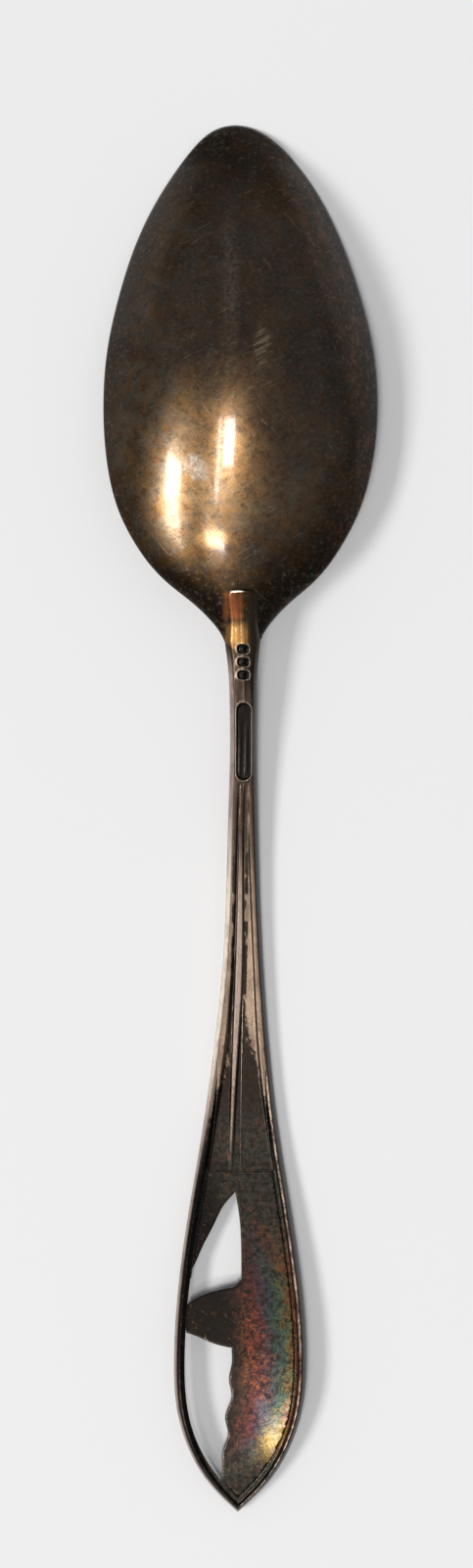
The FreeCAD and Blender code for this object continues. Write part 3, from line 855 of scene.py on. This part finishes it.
def bowl_tone(p, reach):
    """Brown tarnish of the bowl, with painted light and shade: worn thin on its crown, where it is also
    painted brighter as a glow round the highlights, painted lighter on the left, and painted shade towards
    the tip, the right, the neck and the rim.
    """
    tone = p.noise(5.0, 7.0, 0.62, warp=0.6)
    brown = p.ramp(tone, [(0.3, (0.06, 0.034, 0.017)), (0.48, (0.118, 0.067, 0.03)),
                          (0.7, (0.185, 0.104, 0.042))])
    olive = p.ramp(tone, [(0.3, (0.055, 0.045, 0.033)), (0.48, (0.1, 0.082, 0.06)),
                          (0.7, (0.15, 0.12, 0.085))])
    green = p.times(p.step(p.noise(2.2, 6.0, 0.7, shift=11), 0.4, 0.62), p.step(reach, 0.3, 0.6, 0.35, 1.0))
    colour = p.mix(green, brown, olive)
    # painted shade: darker towards the tip, the right, the neck and the rim; painted light: lighter on the
    # left
    shade = p.times(p.step(p.y, 28, 52, 1.0, 0.42), p.step(p.x, 3, 12, 1.0, 0.5))
    shade = p.times(shade, p.times(p.step(p.x, -12, -3, 1.4, 1.0), p.step(p.y, 21, 36, 0.2, 1.0)))
    shade = p.times(shade, p.step(reach, 0.74, 1.0, 1.0, 0.3))
    colour = p.mix(1.0, colour, grey(p, shade), "MULTIPLY")
    # a worn crown, also painted brighter and more golden as a glow round the highlights
    rubbed_and_painted_glow = p.spot((-3.2, 37.8), (5.6, 6.8), 0.4, 0.8, 2.5)
    rubbed_and_painted_glow = p.times(rubbed_and_painted_glow, p.step(p.noise(0.6, 7.0, 0.75), 0.3, 0.6))
    colour = p.mix(p.times(rubbed_and_painted_glow, 0.42), colour, (0.25, 0.13, 0.042))
    rust = p.times(p.step(p.noise(2.6, 7.0, 0.72, shift=21), 0.5, 0.66), p.step(p.x, 1, 7, 0.15, 0.6))
    colour = p.mix(rust, colour, (0.085, 0.038, 0.02))
    mottle = p.noise(0.9, 8.0, 0.75, shift=3)
    colour = p.mix(p.step(mottle, 0.47, 0.66, 0.0, 0.65), colour, (0.02, 0.015, 0.0115))
    hue = p.step(p.noise(1.1, 4.0, 0.7, shift=31), 0.44, 0.56)
    fleck = p.mix(hue, (0.13, 0.056, 0.03), (0.11, 0.096, 0.072))
    return p.mix(p.step(p.noise(0.5, 6.0, 0.78, shift=8), 0.52, 0.66, 0.0, 0.7), colour, fleck)


def painted_reflection_patches(p, colour):
    """Painted reflections, copper and gold, on the tongue and on the bowl beside it, on the left: the light
    that the concave saddle between bowl and neck reflects.
    """
    copper = p.block((-1.95, 0.1), (49.5, 52.2), 0.3)
    gold = p.block((-1.75, 0.5), (52.7, 54.8), 0.5)
    mottle = mottled(p, 0.2, 0.6, 0.55, 1.0)
    colour = p.mix(p.times(copper, mottle), colour, COPPER_REFLECTION)
    return p.mix(p.times(gold, 0.9), colour, GOLD_REFLECTION)


def bowl_metal():
    p = Paint("tarnished_bowl")
    reach = p.field("reach")
    rough, normal, cuts = worn(p, 0.36, 0.003, 0.09)
    colour = p.mix(p.times(cuts, 0.4), bowl_tone(p, reach), (0.24, 0.17, 0.11))
    smudge = p.times(p.spot((-4.9, 36.6), (0.85, 1.3), 0.9, 0.6, 0.8, 0.5), mottled(p, 0.25, 0.75))
    colour = p.mix(p.times(smudge, 0.5), colour, (0.4, 0.385, 0.37))
    glint = p.times(p.spot((-3.1, 43.9), (1.5, 0.9), 0.4, 0.5, 0.8), 0.6)
    colour = p.mix(glint, colour, (0.34, 0.2, 0.07))
    # painted reflection: a faint lighter streak up the middle of the bowl's back
    streak = p.times(p.spot((-1.3, 17.0), (0.8, 6.0), 0.6, 0.8, 0.8), mottled(p, 0.38, 0.62))
    colour = p.mix(p.times(streak, 0.5), colour, (0.2, 0.155, 0.125))
    hatch = p.step(p.noise(0.35, 3.0, 0.6, (14, 0.35, 1), 0.5, 3.0), 0.5, 0.57)
    hatch = p.times(hatch, p.spot((2.0, 24.2), (0.9, 1.9), 0.5, 0.4, 0.8))
    colour = p.mix(p.times(hatch, 0.6), colour, (0.36, 0.29, 0.19))
    # the painted copper and gold reflections at the bowl's rear
    colour = p.mix(p.step(p.y, 25.5, 23.5), colour, painted_reflection_patches(p, colour))
    coat = p.times(p.step(reach, 0.55, 0.85, 0.45, 0.06), p.step(p.noise(0.3, 3.0), 0.3, 0.6, 0.5, 1.0))
    p.shader.inputs["Coat IOR"].default_value = 1.7
    return p.finish(colour, rough, normal, coat)


def mottled(p, low, high, start=0.0, end=1.0):
    """A share that breaks a patch up into small flecks."""
    return p.step(p.noise(0.35, 5.0, 0.7, shift=6), low, high, start, end)


def edges(p, colour, inset, station):
    """The sloping sides of the handle's back, in painted light and shade: a painted lit band, pale and
    patchy, on the left, and painted shade, dark grey, on the right.
    """
    on_left = p.step(inset, -0.02, 0.02, 1.0, 0.0)
    left = p.times(p.step(inset, -0.5, -0.3), on_left)
    thin = p.times(p.step(inset, -0.3, -0.15), on_left)
    late = p.step(station, 98, 112)
    left = p.math("MULTIPLY_ADD", late, p.math("SUBTRACT", thin, left), left)
    patchy = p.step(p.noise(0.7, 5.0, 0.7, (1, 3, 1)), 0.35, 0.55, 0.6, 1.0)
    bright = p.times(p.step(station, 70, 82), p.step(station, 96, 108, 1.0, 0.0))
    pale = p.mix(bright, DIM_LIT_SIDE, BRIGHT_LIT_SIDE)
    colour = p.mix(p.times(left, patchy), colour, pale)
    right = p.times(p.step(inset, -0.02, 0.02), p.step(inset, 0.4, 0.5, 1.0, 0.0))
    return p.mix(right, colour, SHADED_EDGE)


def film(p, station, span):
    """Many-coloured tarnish on the handle's end, in bands from its right edge inwards."""
    drift = p.math("MULTIPLY_ADD", p.noise(2.0, 10.0, 0.78, warp=0.5), 7.0, -3.5)
    place = p.times(p.math("ADD", span, drift), 1 / 13)
    bands = p.ramp(place, [(0.0, (0.045, 0.022, 0.015)), (0.09, (0.08, 0.03, 0.013)),
                           (0.15, (0.055, 0.048, 0.02)), (0.2, (0.028, 0.046, 0.03)),
                           (0.27, (0.022, 0.033, 0.036)), (0.34, (0.035, 0.02, 0.03)),
                           (0.42, (0.062, 0.018, 0.017)), (0.5, (0.034, 0.018, 0.014)),
                           (0.6, (0.011, 0.009, 0.0075))])
    olive = p.ramp(p.noise(0.9, 8.0, 0.75), [(0.3, (0.012, 0.011, 0.010)), (0.45, (0.02, 0.022, 0.018)),
                                             (0.58, (0.034, 0.024, 0.018)), (0.7, (0.05, 0.022, 0.017))])
    full = p.times(p.step(station, 113, 125), p.step(station, 137, 141, 1.0, 0.0))
    dark = p.mix(p.step(span, 5.5, 9.5), olive, (0.006, 0.0048, 0.0048))
    colour = p.mix(p.times(full, 0.9), dark, bands)
    streak = p.times(p.spot((3.1, 118.0), (0.75, 3.6), 0.5, 0.5, 1.0, 0.5), mottled(p, 0.35, 0.6))
    colour = p.mix(p.times(streak, 0.7), colour, (0.075, 0.022, 0.012))
    ember = p.times(p.spot((1.7, 129.0), (1.6, 5.5), 0.7, 0.5, 1.2, 0.15), mottled(p, 0.46, 0.62))
    colour = p.mix(p.times(ember, 0.8), colour, (0.15, 0.042, 0.012))
    soot = p.step(p.noise(0.5, 8.0, 0.78, shift=7), 0.44, 0.58, 0.0, 0.85)
    colour = p.mix(soot, colour, (0.009, 0.0078, 0.0075))
    flecks = p.times(p.step(p.noise(0.3, 5.0, 0.75, (1, 2, 1), 0.5, shift=17), 0.57, 0.68), 0.5)
    colour = p.mix(flecks, colour, (0.1, 0.06, 0.035))
    gleam = p.times(p.spot((3.3, 138.2), (1.1, 1.7), 0.9, 0.8, 0.7, -0.6), mottled(p, 0.3, 0.6, 0.4, 1.0))
    colour = p.mix(p.times(gleam, 0.75), colour, (0.15, 0.092, 0.017))
    # painted highlight: the bluish upper end of the gleam
    lilac = p.times(p.spot((2.5, 135.4), (0.6, 1.6), 0.9, 0.9, 0.6, 0.4), mottled(p, 0.35, 0.6, 0.2, 1.0))
    return p.mix(p.times(lilac, 0.5), colour, (0.062, 0.058, 0.072))


def rubbed_rim(p, colour, inset, low, high):
    """A worn bright line, broken here and there, along the right edge."""
    line = p.times(p.step(inset, low, low + 0.08), p.step(inset, high - 0.1, high + 0.02, 1.0, 0.0))
    breaks = p.step(p.noise(0.45, 6.0, 0.75, (1, 2.5, 1), shift=2), 0.42, 0.58)
    tan = p.ramp(p.noise(0.5, 5.0), [(0.3, (0.1, 0.073, 0.06)), (0.7, (0.24, 0.185, 0.155))])
    return p.mix(p.times(line, breaks), colour, tan)


def finish_handle(p, colour):
    """The handle's silver, under a thin patchy coat."""
    rough, normal, _ = worn(p, 0.4, 0.004, 0.12)
    return p.finish(colour, rough, normal, p.step(p.noise(0.5, 4.0), 0.3, 0.7, 0.02, 0.18))


def handle_fields(p):
    station = p.math("SUBTRACT", LENGTH / 2, p.y)
    return station, p.field("inset"), p.field("span")


def soot(p):
    """Black dirt, mottled with dark brown."""
    return p.mix(p.noise(0.7, 5.0), (0.0045, 0.0036, 0.0033), (0.019, 0.014, 0.0105))


def stain(p, station, inset, bare):
    """A dark stain between the stem's edges that widens towards the handle's end, with ragged sides."""
    ragged = p.math("MULTIPLY_ADD", p.noise(0.42, 6.0, 0.76, (1, 2.2, 1), 0.6), 3.2, -1.6)
    limit = p.step(station, 90, 108, -2.5, -0.4)
    place = p.math("ADD", p.math("ADD", ragged, p.math("ABSOLUTE", inset)), limit)
    return p.step(p.math("SUBTRACT", place, bare), -0.02, 0.12)


def stem_metal():
    p = Paint("rubbed_stem")
    station, inset, span = handle_fields(p)
    tone = p.noise(1.8, 7.0, 0.65, (1, 3, 1))
    tan = p.ramp(tone, [(0.3, (0.055, 0.037, 0.027)), (0.5, (0.105, 0.076, 0.058)),
                        (0.72, (0.18, 0.134, 0.098))])
    brown = p.ramp(tone, [(0.3, (0.013, 0.009, 0.0065)), (0.7, (0.034, 0.023, 0.0165))])
    colour = p.mix(p.step(station, 72, 87), brown, tan)
    colour = p.mix(p.times(p.field("rib"), p.step(station, 74, 86, 0.0, 0.75)), colour, (0.15, 0.118, 0.106))
    dashes = p.step(p.noise(1.1, 2.0, 0.5, (0.6, 1.5, 1), shift=13), 0.4, 0.48)
    dirt = p.math("MULTIPLY_ADD", p.noise(0.4, 5.0), 0.6, p.field("gutter"))
    dashes = p.times(dashes, p.step(dirt, 0.72, 0.9))
    dashes = p.times(dashes, p.step(station, 71, 77))
    bare = p.times(p.field("rib"), 1.4)
    colour = p.mix(p.math("MAXIMUM", dashes, stain(p, station, inset, bare)), colour, soot(p))
    colour = p.mix(p.step(station, 101, 108), colour, film(p, station, span))
    colour = p.mix(p.times(p.field("rib"), p.step(station, 96, 104, 0.0, 0.75)), colour, (0.13, 0.1, 0.08))
    colour = edges(p, colour, inset, station)
    # the tongue: the bowl's tarnish under the painted copper and gold reflections
    tongue = painted_reflection_patches(p, bowl_tone(p, 0.55))
    tongue = p.mix(p.step(p.x, 0.5, 1.1), tongue, (0.04, 0.028, 0.018))
    # painted highlight: a pale line along the rounded front edge of the tongue's nose
    lip = p.times(p.step(station, LAP_START + 0.28, LAP_START + 0.12), p.step(p.x, -1.6, -1.0))
    tongue = p.mix(p.times(lip, p.step(p.x, 0.3, -0.4)), tongue, (0.95, 0.85, 0.7))
    colour = p.mix(p.step(station, LAP_END, 58.5), tongue, colour)
    struck = p.field("struck")
    colour = p.mix(p.times(p.field("lip"), 0.65), colour, (0.15, 0.118, 0.095))
    dug = p.step(struck, 0.2, 0.45)
    colour = p.mix(dug, colour, p.mix(p.noise(0.25, 4.0), (0.0025, 0.002, 0.002), (0.01, 0.008, 0.0075)))
    return finish_handle(p, colour)


def border_metal():
    p = Paint("rubbed_border")
    station, inset, span = handle_fields(p)
    colour = film(p, station, span)
    legs = p.mix(stain(p, station, inset, 0.0), (0.1, 0.075, 0.058), soot(p))
    colour = p.mix(p.step(station, 108, 103), colour, legs)
    colour = rubbed_rim(p, colour, inset, 0.42, 0.78)
    colour = edges(p, colour, inset, station)
    return finish_handle(p, colour)


def plaque_metal():
    p = Paint("coloured_plaque")
    station, _, span = handle_fields(p)
    colour = film(p, station, span)
    return finish_handle(p, colour)


def solder_metal(name, filmed):
    """Solder: dull and dark beside the tongue, there under the painted copper and gold reflections, and under
    the film of the metal around it elsewhere.
    """
    p = Paint(name)
    if filmed:
        station, _, span = handle_fields(p)
        colour = film(p, station, span)
    else:
        dull = p.ramp(p.noise(0.6, 6.0), [(0.3, (0.014, 0.012, 0.011)), (0.7, (0.05, 0.04, 0.034))])
        colour = painted_reflection_patches(p, dull)
    return finish_handle(p, colour)


# ---------------------------------------------------------------- scene

bowl_piece.data.materials.append(bowl_metal())
stem_piece.data.materials.append(stem_metal())
border_piece.data.materials.append(border_metal())
plaque_piece.data.materials.append(plaque_metal())
for seam, filmed in zip(seams, (True, True, False)):
    seam.data.materials.append(solder_metal(seam.name + "_solder", filmed))

add_camera()
add_floor()
world = bpy.data.worlds.new("studio")
world.use_nodes = True
world.node_tree.nodes["Background"].inputs["Color"].default_value = WORLD_COLOUR
world.node_tree.nodes["Background"].inputs["Strength"].default_value = 1.0
bpy.context.scene.world = world
bpy.context.scene.view_settings.view_transform = "Standard"
add_light("window", (-8.8, -3.0), (-16.4, -5), 54)
add_light("slit", (-12.5, -11.0), (-23, -4.4), 36)
add_light("side", (-50, -38.5), (-37, -12.8), 38, turn=-12)
add_light("low", (-19, -7), (-30.0, -28.9), 125)
